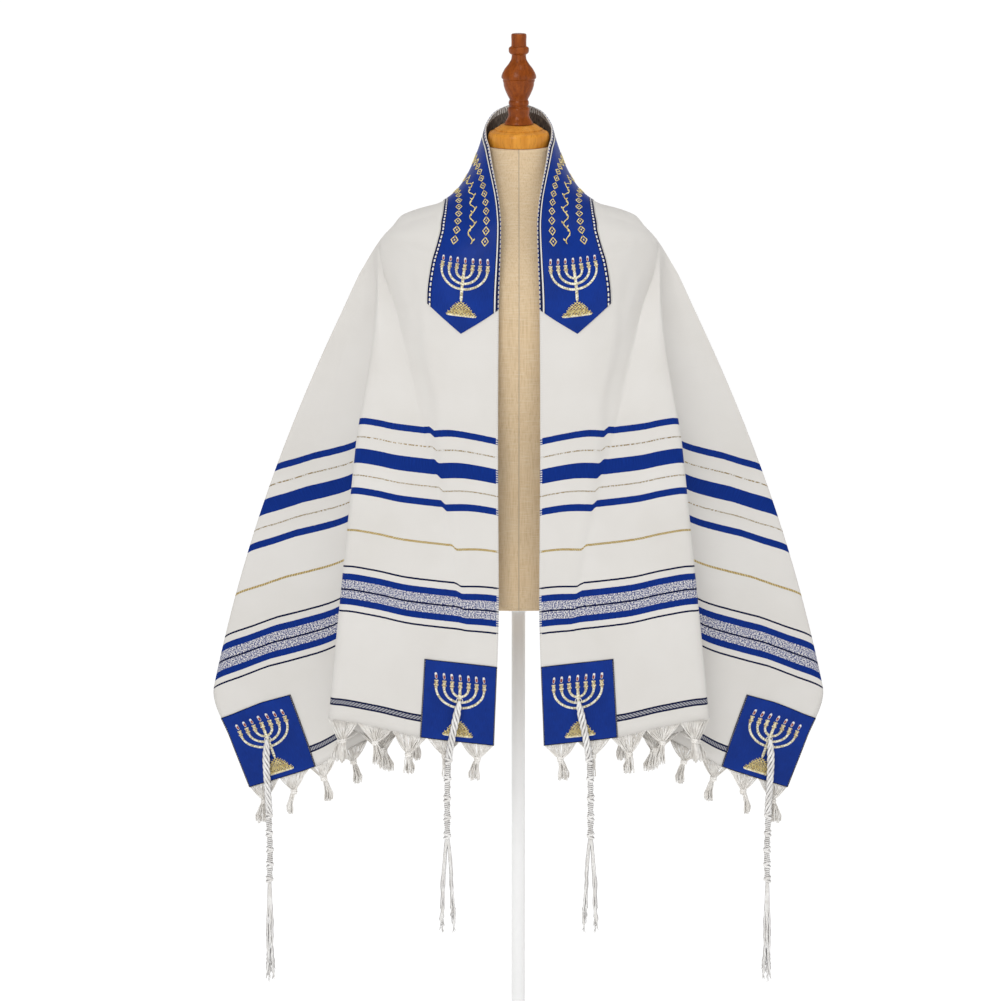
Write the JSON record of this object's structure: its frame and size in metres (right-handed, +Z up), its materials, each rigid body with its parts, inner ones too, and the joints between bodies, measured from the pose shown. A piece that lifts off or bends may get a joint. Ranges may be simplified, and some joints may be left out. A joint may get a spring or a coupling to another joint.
{
  "type": "tallit prayer shawl on a dress form",
  "caption": "Fringed prayer shawl with a satin neckband, corner patches and corner tassels, draped open at the front over the shoulders of a limbless dress form on a round stand.",
  "frame": {"origin": "on the floor, under the middle of the form and its round base", "axes": "+Z up, -Y is the open front, X runs across the shoulders and the shawl is the same on both sides"},
  "size_m": [0.8148, 0.33, 1.5588],
  "materials": {
    "white_cloth": "smooth off-white weave with blue stripes",
    "blue_satin": "royal blue satin with embroidery",
    "white_thread": "twisted white thread",
    "beige_linen": "plain linen cover",
    "golden_wood": "varnished",
    "red_brown_wood": "varnished",
    "white_steel": "white satin paint"
  },
  "bodies": {
    "root": {"shawl": "white_cloth", "neckband": "blue_satin", "patch_front_left": "blue_satin", "patch_front_right": "blue_satin", "patch_outer_left": "blue_satin", "patch_outer_right": "blue_satin", "fringe_left": "white_thread", "fringe_right": "white_thread", "tzitzit_front_left": "white_thread", "tzitzit_front_right": "white_thread", "tzitzit_outer_left": "white_thread", "tzitzit_outer_right": "white_thread", "torso_form": "beige_linen", "neck_cap": "golden_wood", "finial": "red_brown_wood", "pole_socket": "white_steel", "pole": "white_steel", "base": "white_steel"}
  },
  "joints": []
}
